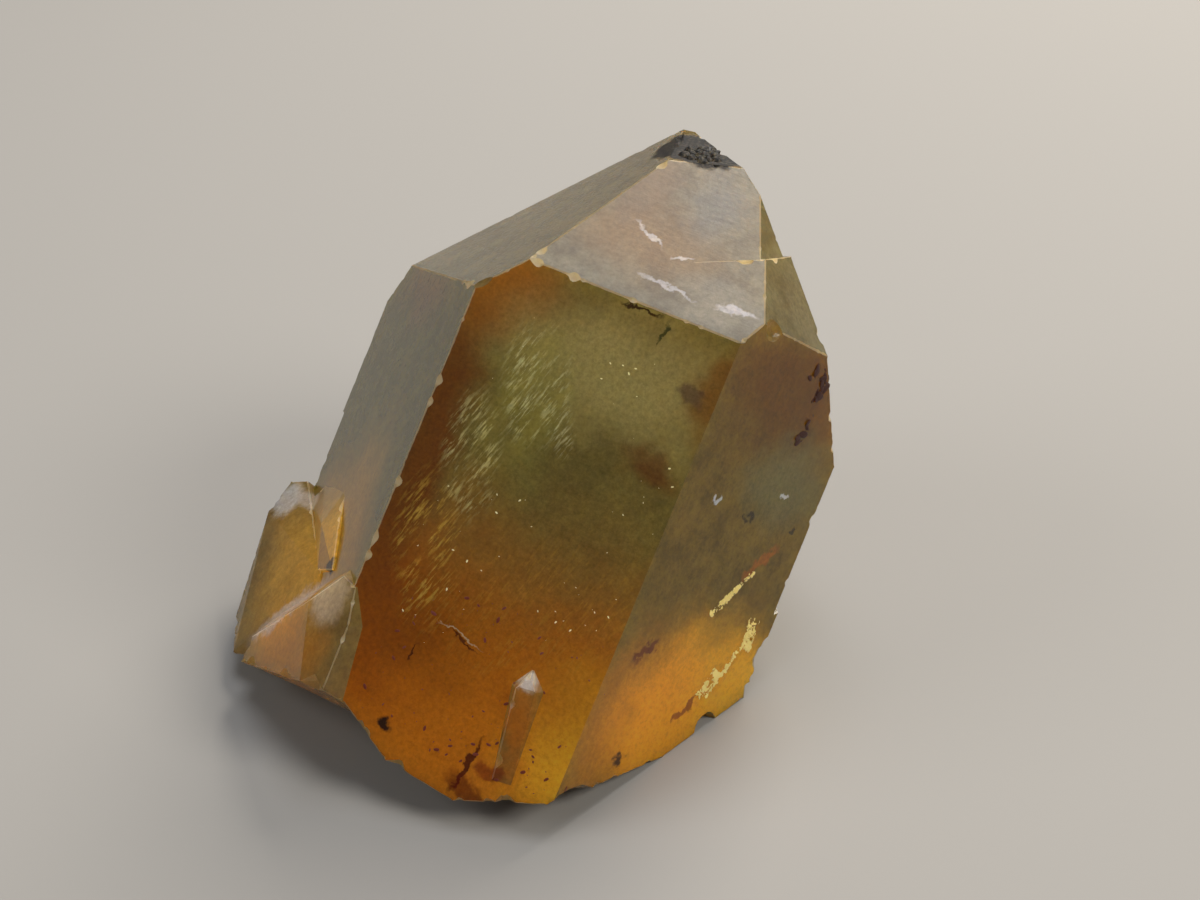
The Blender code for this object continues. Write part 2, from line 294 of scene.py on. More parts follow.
MARKS = [
    # the same for small things with a firmer edge, with the tilt in degrees
    ("rest", (2.3, -16.3, 1.7), (1.1, 1.6, 0.8), 0, "#F6E2CC", 0.75),
    ("rest", (1.4, -16.2, -2.2), (0.2, 2, 2.6), 2, "#F0CCA4", 0.75),
    ("front", (0.6, -16, -5.8), (0.25, 3, 2.6), 10, "#54180A", 0.9),
    ("front", (1.5, -15.8, -7.6), (2.4, 3, 0.8), 20, "#6A1E08", 0.7),
    ("front", (-0.1, -16, 29.2), (1.6, 3, 0.16), 0, "#34180A", 0.9),
    ("front", (1.9, -16, 28.2), (0.2, 3, 0.9), 8, "#34441C", 0.8),
    ("front", (5.4, -16, 24.9), (1.3, 3, 0.8), 10, "#6A4C40", 0.6),
    ("front", (-6.1, -16, 0.2), (0.1, 3, 0.8), 5, "#3A1608", 0.8),
    ("front", (-3.4, -16, 2.7), (2.0, 3, 0.1), 12, "#F2D8A0", 0.8),
    ("front", (-3.0, -16, 2.3), (1.6, 3, 0.1), 16, "#54200A", 0.8),
    ("front", (-6.2, -16, -5.4), (0.7, 3, 0.5), 30, "#1C1410", 0.95),
    ("front", (10.5, -16, -1.0), (0.4, 3, 0.3), 0, "#2A120A", 0.9),
    ("front", (9.9, -16, 5.6), (0.9, 3, 0.25), 40, "#7A2C0C", 0.8),
    # painted highlights: near-white spots on bright facets of the small crystals at the left
    ("rest", (-24.2, 2, 4.7), (1.6, 3, 1.7), 0, "#FFF4EA", 0.8),
    ("rest", (-22.2, 0.8, 5.6), (1.6, 1.8, 1.0), 0, "#FFEEDC", 0.6),
    ("rest left", (-15.9, -9.5, 2.6), (0.5, 0.9, 0.7), 0, "#1E100A", 0.9),
    # painted highlight: a bright facet of a small crystal
    ("rest", (-13.6, -14.6, 1.3), (2.0, 2.6, 2.4), 0, "#F8DAB0", 0.9),
    ("rest left", (-18.0, -8.3, -2.0), (0.8, 9, 5.3), 35, "#E6D4CC", 0.6),
    ("rest front", (2.4, -15.9, -5.6), (1.3, 1.5, 0.7), 0, "#8A2E10", 0.7),
    ("right", (10.2, -11.1, -1.8), (0.4, 0.8, 0.5), 0, "#24100A", 0.9),
    ("right", (13.9, -4.4, 15.2), (0.3, 9, 2.2), 22, "#C87818", 0.9),
    ("right", (12.9, -6.3, 2.9), (0.25, 9, 1.5), 18, "#8A3A10", 0.8),
    ("right", (9.2, -12.8, 6.6), (0.3, 9, 1.4), 25, "#7A2C0C", 0.8),
    ("right", (9.7, -11.7, 18.6), (0.25, 9, 0.35), 30, "#FFFFF4", 1.0),
    ("right", (13.8, -4.7, 20.6), (0.2, 9, 0.3), 60, "#FFFFF4", 1.0),
    ("right", (12.0, -7.8, 18.2), (0.3, 9, 0.4), 0, "#2A2010", 0.8),
    ("right", (15.2, -2.2, 18.4), (0.2, 9, 0.3), 0, "#2A2010", 0.8),
    ("point_front", (-2.3, -11.8, 34.7), (1.5, 2, 0.22), 24, "#F8ECE4", 0.7),
    ("point_front", (0.7, -12.5, 33.8), (1.0, 2, 0.2), -28, "#F8ECE4", 0.7),
    ("point_front", (0.8, -14.4, 31.4), (2.4, 1.2, 0.2), 5, "#F0E8EA", 0.6),
    ("point_front", (6.0, -14.2, 31.6), (1.6, 1.2, 0.35), -8, "#F0E8EA", 0.7),
]
MILKY = [
    # where less light goes straight through
    ("right", (14, -6, 2), (7, 12, 10), 0.35),
    ("rest", (-23, -12, 4), (10, 12, 12), 0.42),
    ("front", (0, -14, -8), (16, 8, 9), 0.15),
]
WISPS = [
    # where the healed cracks gather just under the front face
    ((-5.2, -16, 21.5), (2.6, 9, 5.0), "#FFF6A8", 1.0),
    ((-7.6, -16, 15.0), (2.3, 9, 5.0), "#FFF09A", 0.9),
    ((-8.2, -16, 7.5), (2.6, 9, 6.0), "#F8C850", 0.8),
    ((-2.0, -16, 19.0), (0.9, 9, 2.0), "#FFF6B0", 0.7),
    ((1.0, -16, 6.0), (9.0, 9, 6.0), "#E8A838", 0.35),
]
print(len(CLOUDS), "clouds and", len(MARKS), "marks")

# %% [markdown]
# The clouds could be painted on an unwrapped picture of the stone, which would tear at its edges,
# or written on a very fine mesh. Here each is worked out from the place alone, so it runs on from
# face to face. Every patch is the same thing: 1 in the middle of an egg, 0 outside it, and soft
# between. A Mapping node turns crystal millimetres into the egg's own, where its skin is at
# distance 1. The place is first shifted by noise, because nothing in a stone has a ruled edge:
# clouds drift by millimetres and marks crumble by tenths.

# %% Patches of colour
CLOUD_FIRM = 0.3       # a cloud fades from 1.4 to 0.3 of the way to the egg's skin
MARK_FIRM = 0.55       # a mark fades from 1.15 to 0.55 of it
WIDE_RIM = 1.7         # where the fading starts, with the firmness taken off


def crystal_coordinates(tree):
    """Object coordinates turned into mm along the crystal's own directions."""
    source = add(tree, "ShaderNodeTexCoord")
    return add(tree, "ShaderNodeMapping", {
        "Vector": source.outputs["Object"], "Location": TO_CRYSTAL.translation / MM,
        "Rotation": TO_CRYSTAL.to_euler(), "Scale": (1 / MM, 1 / MM, 1 / MM)}, vector_type="POINT")


def shifted(tree, place, spots_per_mm, reach):
    """A place moved about by noise, by half the reach in mm at most."""
    drift = add(tree, "ShaderNodeTexNoise", {"Vector": place, "Scale": spots_per_mm, "Detail": 3.0,
                                             "Roughness": 0.6})
    drift = add(tree, "ShaderNodeVectorMath", {0: drift.outputs["Color"], 1: (0.5, 0.5, 0.5)},
                operation="SUBTRACT")
    return add(tree, "ShaderNodeVectorMath", {0: drift, 1: (reach, reach, reach), 2: place},
               operation="MULTIPLY_ADD")


def patch(tree, place, centre, spans, strength=1.0, tilt=0.0, firm=MARK_FIRM):
    """The strength in a soft-edged egg round a place, 0 outside it, tilted in the front face's plane."""
    egg = add(tree, "ShaderNodeMapping", {
        "Vector": place, "Location": centre, "Rotation": (0, radians(tilt), 0), "Scale": spans},
        vector_type="TEXTURE")
    far = add(tree, "ShaderNodeVectorMath", {0: egg}, operation="LENGTH")
    return add(tree, "ShaderNodeMapRange", {
        "Value": far.outputs["Value"], "From Min": WIDE_RIM - firm, "From Max": firm, "To Max": strength},
        interpolation_type="SMOOTHSTEP")


def patched(tree, colour, place, kind, table, firm):
    """A colour with every patch of a table that belongs on this kind of face."""
    for kinds, centre, spans, tilt, code, strength in table:
        if kind in kinds.split():
            spot = patch(tree, place, centre, spans, strength, tilt, firm)
            mix = add(tree, "ShaderNodeMix", {0: spot, 6: colour, 7: linear(code)}, data_type="RGBA")
            colour = mix.outputs[2]
    return colour


# %% [markdown]
# Under the front face hang healed cracks, which show as pale threads in slanting bundles. The large
# flakes of them are meshes further on. The finest are a pattern: noise that is squeezed across and
# stretched along their slant gives threads, a coarser one gathers them in bundles, and a few patches
# say where they are.

# %% Threads of healed cracks
SLANT = -17.5                    # degrees in the plane of the front face
THREAD_SCALE = (4.5, 4.5, 0.7)   # threads to the mm: a fifth of a mm thick, one and a half long
BUNDLE_SCALE = (0.9, 0.9, 0.25)  # bundles to the mm: about one thick, four long


def threads(tree, place, squeeze, detail, thin, low, high):
    """Noise stretched along the slant, from 0 to 1 where it passes two limits."""
    turned = add(tree, "ShaderNodeMapping", {"Vector": place, "Rotation": (0, radians(SLANT), 0)},
                 vector_type="POINT")
    squeezed = add(tree, "ShaderNodeVectorMath", {0: turned, 1: squeeze}, operation="MULTIPLY")
    streaks = add(tree, "ShaderNodeTexNoise", {"Vector": squeezed, "Scale": 1.0, "Detail": detail,
                                               "Roughness": thin})
    return add(tree, "ShaderNodeMapRange", {"Value": streaks, "From Min": low, "From Max": high})


def wisps(tree, place, colour):
    """Pale threads in slanting bundles over a colour."""
    fine = threads(tree, place, THREAD_SCALE, detail=3.0, thin=0.65, low=0.49, high=0.62)
    bundles = threads(tree, place, BUNDLE_SCALE, detail=2.0, thin=0.6, low=0.4, high=0.55)
    wispy = add(tree, "ShaderNodeMath", {0: fine, 1: bundles}, operation="MULTIPLY")
    for centre, spans, code, strength in WISPS:
        here = patch(tree, place, centre, spans, strength, SLANT)
        share = add(tree, "ShaderNodeMath", {0: here, 1: wispy}, operation="MULTIPLY")
        mix = add(tree, "ShaderNodeMix", {0: share, 6: colour, 7: linear(code)}, data_type="RGBA")
        colour = mix.outputs[2]
    return colour


# %% [markdown]
# The tip carries a black-brown crust of iron and manganese oxide. It is opaque and rough, so one
# patch darkens the colour, stops the light and roughens the face at the same time.

# %% Crust on the tip
CRUST = ((-2.6, -3.6, 43.0), (5.0, 4.6, 3.2))    # centre and spans in crystal mm
CRUST_FIRM = 0.78      # its edge is firm, as a scab's is
CRUST_ROUGHENS = 0.35
SOOT = ("#0C0A09", "#4A443C")    # dark and light of it, in spots of a quarter mm


def crusted(tree, place, crumbly, colour, clear, rough):
    """The stone's colour, clearness and roughness with the crust over them."""
    crust = patch(tree, crumbly, *CRUST, firm=CRUST_FIRM)
    soot = add(tree, "ShaderNodeTexNoise", {"Vector": place, "Scale": 4.0, "Detail": 2.0, "Roughness": 0.6})
    soot = add(tree, "ShaderNodeMapRange", {"Value": soot, "From Min": 0.45, "From Max": 0.7})
    soot = add(tree, "ShaderNodeMix", {0: soot, 6: linear(SOOT[0]), 7: linear(SOOT[1])}, data_type="RGBA")
    covered = add(tree, "ShaderNodeMix", {0: crust, 6: colour, 7: soot.outputs[2]}, data_type="RGBA")
    bare = add(tree, "ShaderNodeMath", {0: 1.0, 1: crust}, operation="SUBTRACT")
    clear = add(tree, "ShaderNodeMath", {0: clear, 1: bare}, operation="MULTIPLY")
    rough = add(tree, "ShaderNodeMath", {0: crust, 1: CRUST_ROUGHENS, 2: rough}, operation="MULTIPLY_ADD")
    return covered.outputs[2], clear, rough


# %% [markdown]
# Light passes through a face, gets tinted, meets haze and comes back. Scattering in a real volume
# would be truest and far too slow. So one Principled shader does both halves: part of the light is
# transmitted at the index of quartz, 1.544, the rest scatters under the surface, and the base
# colour tints the two. An absorption volume deepens the amber where the stone is thick.
# Prism faces grew smooth and glossy, the point is etched and satin, breaks are a bit dull, and
# crushed quartz in a chip is white and rough. Fine growth lines run across the prism faces, which
# is what quartz always shows. Each kind of face has a material of its own, with only the patches
# that lie there, because a shader is worked out anew wherever a ray of light hits.

# %% Citrine
CLEAR = {"back": 0.8, "point_front": 0.45}     # the share of light that goes straight through
CLEAR_ELSEWHERE = 0.55
ROUGH = {"point_front": 0.34, "rest": 0.23}    # etched, broken
ROUGH_ELSEWHERE = 0.15
BRUISE = "#E4D2B0"     # crushed quartz in a chip
BRUISE_TINTS = 0.5     # the share of that colour in a full bruise
BRUISE_DULLS = 0.3     # what it takes off the clearness and adds to the roughness
QUARTZ_IOR = 1.544
WORN_GLEAM = 0.25      # half the usual specular level of 0.5, because the skin is worn
HAZE = {
    # red light goes furthest through the haze, which warms it
    "Subsurface Weight": 1.0, "Subsurface Radius": (1.0, 0.55, 0.18), "Subsurface Scale": 8 * MM,
}
AMBER = (0.84, 0.61, 0.13, 1.0)    # what is left of white light
AMBER_PER_METRE = 60.0


def stone_colour(tree, kind, place, crumbly, cloudy):
    """The ground of this kind of face with its clouds, wisps and marks, and a fine grain over all."""
    # blotches of about 2 mm
    mottle = add(tree, "ShaderNodeTexNoise", {"Vector": place, "Scale": 0.45, "Detail": 5.0,
                                              "Roughness": 0.7})
    mottle = add(tree, "ShaderNodeMapRange", {"Value": mottle, "From Min": 0.35, "From Max": 0.65})
    dark, light = GROUNDS[kind]
    ground = add(tree, "ShaderNodeMix", {0: mottle, 6: linear(dark), 7: linear(light)}, data_type="RGBA")
    colour = patched(tree, ground.outputs[2], cloudy, kind, CLOUDS, CLOUD_FIRM)
    if kind == "front":
        colour = wisps(tree, place, colour)
    colour = patched(tree, colour, crumbly, kind, MARKS, MARK_FIRM)
    # a grain of 0.4 mm
    fine = add(tree, "ShaderNodeTexNoise", {"Vector": place, "Scale": 2.6, "Detail": 4.0, "Roughness": 0.75})
    fine = add(tree, "ShaderNodeMapRange", {"Value": fine, "From Min": 0.3, "From Max": 0.7,
                                            "To Min": 0.76, "To Max": 1.24})
    return add(tree, "ShaderNodeVectorMath", {0: colour, "Scale": fine}, operation="SCALE")


def stone_relief(tree, place):
    """Growth lines across the long axis, three to the mm, and pits of two thirds of a mm."""
    across = add(tree, "ShaderNodeVectorMath", {0: place, 1: (0.15, 0.15, 3.0)}, operation="MULTIPLY")
    lines = add(tree, "ShaderNodeTexNoise", {"Vector": across, "Scale": 1.0, "Detail": 2.0, "Roughness": 0.6})
    pits = add(tree, "ShaderNodeTexNoise", {"Vector": place, "Scale": 1.5, "Detail": 4.0, "Roughness": 0.7})
    etch = add(tree, "ShaderNodeMath", {0: lines, 1: 0.5, 2: pits}, operation="MULTIPLY_ADD")
    return add(tree, "ShaderNodeBump", {"Strength": 0.6, "Distance": 0.03 * MM, "Height": etch})


def citrine(kind):
    """The stone as one kind of face shows it."""
    made, tree = material("citrine_" + kind)
    place = crystal_coordinates(tree)
    cloudy = shifted(tree, place, spots_per_mm=0.16, reach=6.0)
    crumbly = shifted(tree, place, spots_per_mm=0.9, reach=1.6)
    colour = stone_colour(tree, kind, place, crumbly, cloudy)
    clear = CLEAR.get(kind, CLEAR_ELSEWHERE)
    rough = ROUGH.get(kind, ROUGH_ELSEWHERE)
    for milky_kind, centre, spans, less in MILKY:
        if milky_kind == kind:
            milk = patch(tree, cloudy, centre, spans, less)
            clear = add(tree, "ShaderNodeMath", {0: clear, 1: milk}, operation="SUBTRACT")
    chipped = add(tree, "ShaderNodeAttribute", attribute_name="chipped").outputs["Fac"]
    share = add(tree, "ShaderNodeMath", {0: chipped, 1: BRUISE_TINTS}, operation="MULTIPLY")
    bruised = add(tree, "ShaderNodeMix", {0: share, 6: colour, 7: linear(BRUISE)}, data_type="RGBA")
    colour = bruised.outputs[2]
    clear = add(tree, "ShaderNodeMath", {0: chipped, 1: -BRUISE_DULLS, 2: clear}, operation="MULTIPLY_ADD")
    rough = add(tree, "ShaderNodeMath", {0: chipped, 1: BRUISE_DULLS, 2: rough}, operation="MULTIPLY_ADD")
    if kind.startswith("point") or kind in ("rest", "back"):
        colour, clear, rough = crusted(tree, place, crumbly, colour, clear, rough)
    shader = add(tree, "ShaderNodeBsdfPrincipled", {
        "Base Color": colour, "Roughness": rough, "Normal": stone_relief(tree, place),
        "Transmission Weight": clear, "IOR": QUARTZ_IOR, "Specular IOR Level": WORN_GLEAM,
        **HAZE}, subsurface_method="BURLEY")
    body = add(tree, "ShaderNodeVolumeAbsorption", {"Color": AMBER, "Density": AMBER_PER_METRE})
    add(tree, "ShaderNodeOutputMaterial", {"Surface": shader, "Volume": body})
    return made


STONES = [citrine(kind) for kind in GROUNDS]
print("stones:", {made.name: len(made.node_tree.nodes) for made in STONES})

# %% [markdown]
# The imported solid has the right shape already, so the stone starts from it and isn't modelled again.
# The solid is a list of loose triangles. A copy is merged, and flat stretches are made whole faces
# again, so that each ridge of the crystal is one clean edge to work on.

# %% The solid's mesh
SAME_SPOT = 0.001 * MM
FLAT = radians(0.3)


def merged_copy(node):
    """A CAD node's loose triangles, merged, with flat stretches made whole faces again."""
    bm = bmesh.new()
    bm.from_mesh(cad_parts[node].data)
    bmesh.ops.remove_doubles(bm, verts=bm.verts[:], dist=SAME_SPOT)
    bmesh.ops.dissolve_limit(bm, angle_limit=FLAT, verts=bm.verts[:], edges=bm.edges[:])
    bm.normal_update()
    print(node, "has", len(bm.faces), "flat faces and", len(bm.edges), "ridges")
    return bm


skin = BVHTree.FromBMesh(merged_copy("citrine_crystal"))

# %% [markdown]
# No real crystal keeps a knife edge. Knocks leave a thin uneven scuff all along a ridge, and shell
# shaped chips here and there, more and larger ones near the foot. Cutting each chip out with a
# Boolean is slow and fails on so many slivers, and a Bevel modifier makes one even ribbon. So each
# long ridge is split into short steps and bevelled by a hair, and the bevel's new points are pulled
# back along the faces by the width of wear at that step: a thin line where it is scuffed, a round
# bite where there is a chip. The edge between the front and the right face has healed and has no
# wear.

# %% Widths of wear along a ridge
STEP_ALONG = 0.22 * MM
LONGEST_STEP = 2.2 * STEP_ALONG
LONG = 1.5 * MM                  # a shorter ridge keeps its edge
SHARP = radians(20)              # so does a blunter one
SCUFF = (0.04 * MM, 0.12 * MM)   # the narrowest and widest scuff
SCUFFS_PER_MM = 1.7              # how often its width rises and falls
TAPER = 0.6                      # wear narrows towards the ends of a ridge, so that ridges don't cross
END_WIDTH = 0.02 * MM
FOOT_HEIGHT = 9 * MM             # below this a ridge was knocked harder
FOOT_CHIPS = (2.0 * MM, 0.3 * MM, 1.5 * MM)     # spacing, smallest and largest radius
OTHER_CHIPS = (1.7 * MM, 0.1 * MM, 0.6 * MM)
MOSTLY_SMALL = 4                 # the power that makes most chips small
HEALED_EDGE = (WAYS["front"] + WAYS["right"]).normalized()


def long_ridges(body):
    """The long sharp ridges, with the way out of the crystal and the fold at each."""
    found = []
    for edge in body.edges:
        if edge.calc_length() < LONG or not edge.is_convex or edge.calc_face_angle(0.0) < SHARP:
            continue
        way = sum((face.normal for face in edge.link_faces), Vector()).normalized()
        if way.dot(HEALED_EDGE) < cos(radians(5)):
            found.append((edge, way, edge.calc_face_angle()))
    return found


def chips_on(length, low, chance):
    """Places and radii of the chips along a ridge: many small ones and a few large ones."""
    spacing, smallest, largest = FOOT_CHIPS if low else OTHER_CHIPS
    return [(chance.uniform(0, length), smallest + (largest - smallest) * chance.random() ** MOSTLY_SMALL)
            for _ in range(int(length / spacing) + 1)]


def width_at(spot, far, length, chips, chance):
    """How wide the wear is at a point of a ridge, this far from its start."""
    scuff = noise.noise(spot / MM * SCUFFS_PER_MM) * 0.5 + 0.5
    width = SCUFF[0] + (SCUFF[1] - SCUFF[0]) * scuff
    for place, radius in chips:
        if abs(far - place) < radius:
            width = max(width, (radius ** 2 - (far - place) ** 2) ** 0.5 * chance.uniform(0.8, 1.0))
    return min(width, TAPER * min(far, length - far) + END_WIDTH)


def split_ridge(edge, way, fold, chance):
    """Splits a ridge into short steps, and gives each new point its width of wear."""
    start, end = edge.verts
    length = edge.calc_length()
    chips = chips_on(length, max(v.co.z for v in edge.verts) < FOOT_HEIGHT, chance)
    count = max(2, int(length / STEP_ALONG))
    points = []
    rest, last = edge, start
    for k in range(1, count):
        last = bmesh.utils.edge_split(rest, last, 1 / (count - k + 1))[1]
        rest = next(e for e in last.link_edges if e.other_vert(last) == end)
        width = width_at(last.co, k / count * length, length, chips, chance)
        points.append((last.co.copy(), way, fold, width))
    return points


# %% [markdown]
# After the bevel each step of a ridge has three points: one on either face, and one in the middle
# that points into the stone. The side ones slide along their face, but only where that face goes
# on far enough, and the middle one sinks, deeper in a chip than in a scuff. So a chip is hollow.

# %% Pull the ridges back
HAIR = 0.03 * MM                 # the width of the first bevel
NEAR_POINT = 0.12 * MM           # a bevel point belongs to a ridge point within this
SAME_POINT = 1e-7                # metres
JUST_BESIDE = 0.02 * MM          # where a face's normal is read, off the ridge
FACE_GOES_ON = 1.5               # for how many widths a face must go on
OFF_FACE = 0.002 * MM            # a spot this far from the skin isn't on a face
SAME_NORMAL = 0.999              # as the cosine of the angle between them
INWARDS = -0.93                  # the same for the middle point and the way out
CHIP_HOLLOW = 0.28               # how far a chip sinks under the straight cut, in widths
SCUFF_HOLLOW = 0.05
FOOT_BRUISE, SCUFF_BRUISE, CHIP_BRUISE = 0.25, 0.5, 0.85


def pulled_back(vert, point, before):
    """Moves one point of the bevel to where the wear ends, along the face or into the ridge."""
    spot, way, fold, width = point
    off = vert.co - spot
    if off.length < SAME_POINT:
        return
    aim = off.normalized()
    if aim.dot(way) < INWARDS:
        vert.co = spot - way * width * (sin(fold / 2) + (CHIP_HOLLOW if width > SCUFF[1] else SCUFF_HOLLOW))
        return
    normal = before.find_nearest(spot + aim * JUST_BESIDE)[1]
    ahead = before.find_nearest(spot + aim * width * FACE_GOES_ON)
    face_ends = ahead[3] > OFF_FACE or ahead[1].dot(normal) < SAME_NORMAL
    vert.co = spot + aim * (min(width, SCUFF[0]) if face_ends else width)


def worn(body, seed):
    """Breaks every long ridge, and marks each new face with how bruised it is."""
    chance = random.Random(seed)
    chipped = body.faces.layers.float.new("chipped")
    before = BVHTree.FromBMesh(body)
    points = []
    corners = []
    for edge, way, fold in long_ridges(body):
        corners += [v.co.copy() for v in edge.verts]
        points += split_ridge(edge, way, fold, chance)
    places = kdtree.KDTree(len(points) + len(corners))
    for index, place in enumerate([point[0] for point in points] + corners):
        places.insert(place, index)
    places.balance()
    on_ridge = {v for v in body.verts if places.find(v.co)[2] < SAME_POINT}
    # a step is short and as sharp as its ridge, and an edge across a face is not
    short = [e for e in body.edges if e.verts[0] in on_ridge and e.verts[1] in on_ridge
             and e.calc_length() < LONGEST_STEP and e.calc_face_angle(0.0) > SHARP - radians(1)]
    made = bmesh.ops.bevel(body, geom=short, offset=HAIR, offset_type="OFFSET", segments=2, profile=0.5,
                           affect="EDGES", clamp_overlap=False, loop_slide=False)
    for face in made["faces"]:
        middle = face.calc_center_median()
        index = places.find(middle)[1]
        width = points[index][3] if index < len(points) else 0.0
        bruise = SCUFF_BRUISE if width < SCUFF[1] else CHIP_BRUISE
        face[chipped] = FOOT_BRUISE if middle.z < FOOT_HEIGHT else bruise
    for vert in made["verts"]:
        index, far = places.find(vert.co)[1:]
        if index < len(points) and far <= NEAR_POINT:
            pulled_back(vert, points[index], before)
    print("ridges split at", len(points), "points")
    return body


# %% [markdown]
# Each face now gets the stone of its kind. The small crystals grow side by side with the big one, so
# their faces point the same ways. What tells them apart is how far out they are, so a face counts
# as front, right or left only in the plane of the largest face that points there. Chips are shaded
# smooth, because a shell-shaped break is, and all else stays flat.

# %% Sort the faces
PARALLEL = cos(radians(6))
SAME_PLANE = 0.5 * MM            # the front, right and left face are one plane each
SAME_STEPPED_PLANE = 1.5 * MM    # the point and the back have growth steps
SMOOTH_BELOW = radians(35)


def nearest_kind(face):
    """The kind of face that this one is parallel to, or None."""
    kind, near = max(((kind, face.normal.dot(way)) for kind, way in WAYS.items()), key=lambda pair: pair[1])
    return kind if near > PARALLEL else None


def put_in_order(bm):
    """Lists the triangles by their corners, because a bevel lists a few in another order each run."""
    bm.verts.index_update()
    count = len(bm.verts)

    def number(face):
        first, second, third = sorted(corner.index for corner in face.verts)
        return (first * count + second) * count + third

    bm.faces.sort(key=number)
    bm.faces.index_update()


def sorted_faces(bm):
    """Gives each face of the worn crystal the stone of its kind, and smooths the chips."""
    bm.normal_update()
    chipped = bm.faces.layers.float["chipped"]
    largest = {}
    for face in bm.faces:
        kind = nearest_kind(face)
        if kind and (kind not in largest or face.calc_area() > largest[kind].calc_area()):
            largest[kind] = face
    planes = {kind: WAYS[kind].dot(face.calc_center_median()) for kind, face in largest.items()}
    for face in bm.faces:
        kind = nearest_kind(face)
        nearness = SAME_PLANE if kind in ("front", "right", "left") else SAME_STEPPED_PLANE
        if not kind or abs(WAYS[kind].dot(face.calc_center_median()) - planes[kind]) > nearness:
            kind = "rest"
        face.material_index = list(GROUNDS).index(kind if kind in GROUNDS else "back")
        face.smooth = face[chipped] > 0
    bmesh.ops.triangulate(bm, faces=bm.faces[:])
    put_in_order(bm)
    bm.normal_update()
    for edge in bm.edges:
        pair = edge.link_faces
        edge.smooth = (len(pair) == 2 and all(f[chipped] > 0.0 for f in pair)
                       and edge.calc_face_angle(0.0) < SMOOTH_BELOW)


# %% [markdown]
# All these steps together make the stone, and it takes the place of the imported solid. It has to be
# one closed mesh, because light that goes into a clear body must find the way out again.

# %% The crystal


def crystal():
    """The whole stone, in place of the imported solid."""
    body = worn(merged_copy("citrine_crystal"), seed=4)
    sorted_faces(body)
    print("faces:", len(body.faces), "open edges:", sum(1 for e in body.edges if not e.is_manifold))
    made = object_of("crystal", body, *STONES)
    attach(made, "root")
    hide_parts("citrine_crystal")


crystal()

# %% [markdown]
# What is strewn on the stone or just under its face, such as crumbs, specks and the tiny flakes of
# a healed crack, is the same thing at many sizes: small grains in clumps. A particle system would
# do, but its grains aren't meshes and an exported model loses them. Geometry Nodes strew them on a
# sheet, so that density, clumping and size are numbers to play with, and the grains are made real
# at the end. Each is a small icosphere, stretched and flattened, with a turn and size of its own.

# %% A tree that strews grains
GRAIN_INPUTS = {
    # Density is grains to the square metre and Clump is clumps to the metre. Smallest and Largest are
    # a grain's radius in metres, Length and Flat are shares of it, and Tumble is in radians.
    "Density": "Float", "Clump": "Float", "Cover": "Float", "Smallest": "Float", "Largest": "Float",
    "Length": "Float", "Flat": "Float", "Tumble": "Float", "Corners": "Int", "Seed": "Int",
    "Material": "Material",
}
CLUMP_RIM = 0.12       # how far over Cover the noise must be for full density
FEW_LARGE = 2.5        # the power that makes most grains small
ANY_TURN = 6.28        # radians


def strewing_tree():
    """Grains strewn on a surface in clumps. Where the noise is under Cover, the surface stays bare."""
    tree = bpy.data.node_groups.new("grains_on_a_sheet", "GeometryNodeTree")
    tree.interface.new_socket("Geometry", in_out="OUTPUT", socket_type="NodeSocketGeometry")
    tree.interface.new_socket("Geometry", in_out="INPUT", socket_type="NodeSocketGeometry")
    for label, kind in GRAIN_INPUTS.items():
        tree.interface.new_socket(label, in_out="INPUT", socket_type="NodeSocket" + kind)
    given = tree.nodes.new("NodeGroupInput").outputs
    clumps = add(tree, "ShaderNodeTexNoise", {"Scale": given["Clump"], "Detail": 3.0})
    full = add(tree, "ShaderNodeMath", {0: given["Cover"], 1: CLUMP_RIM}, operation="ADD")
    keep = add(tree, "ShaderNodeMapRange", {"Value": clumps, "From Min": given["Cover"], "From Max": full})
    density = add(tree, "ShaderNodeMath", {0: given["Density"], 1: keep}, operation="MULTIPLY")
    points = add(tree, "GeometryNodeDistributePointsOnFaces", {
        "Mesh": given["Geometry"], "Density": density, "Seed": given["Seed"]})
    chance = add(tree, "FunctionNodeRandomValue", {"Seed": given["Seed"]}).outputs[1]
    mostly_small = add(tree, "ShaderNodeMath", {0: chance, 1: FEW_LARGE}, operation="POWER")
    size = add(tree, "ShaderNodeMapRange", {"Value": mostly_small, "To Min": given["Smallest"],
                                            "To Max": given["Largest"]})
    long = add(tree, "ShaderNodeMath", {0: size, 1: given["Length"]}, operation="MULTIPLY")
    thin = add(tree, "ShaderNodeMath", {0: size, 1: given["Flat"]}, operation="MULTIPLY")
    scale = add(tree, "ShaderNodeCombineXYZ", {0: size, 1: long, 2: thin})
    lean = add(tree, "ShaderNodeCombineXYZ", {0: given["Tumble"], 1: given["Tumble"], 2: ANY_TURN})
    back = add(tree, "ShaderNodeVectorMath", {0: lean, 1: (-1, -1, 0)}, operation="MULTIPLY")
    tip = add(tree, "FunctionNodeRandomValue", {0: back, 1: lean, "Seed": given["Seed"]},
              data_type="FLOAT_VECTOR")
    turned = add(tree, "FunctionNodeRotateRotation", {0: points.outputs["Rotation"], 1: tip},
                 rotation_space="LOCAL")
    stone = add(tree, "GeometryNodeMeshIcoSphere", {"Radius": 1.0, "Subdivisions": given["Corners"]})
    grains = add(tree, "GeometryNodeInstanceOnPoints", {
        "Points": points, "Instance": stone, "Rotation": turned, "Scale": scale})
    real = add(tree, "GeometryNodeRealizeInstances", {0: grains})
    dyed = add(tree, "GeometryNodeSetMaterial", {0: real, "Material": given["Material"]})
    add(tree, "NodeGroupOutput", {0: dyed})
    return tree


STREWING = strewing_tree()
print(STREWING.name, "has", len(STREWING.nodes), "nodes")


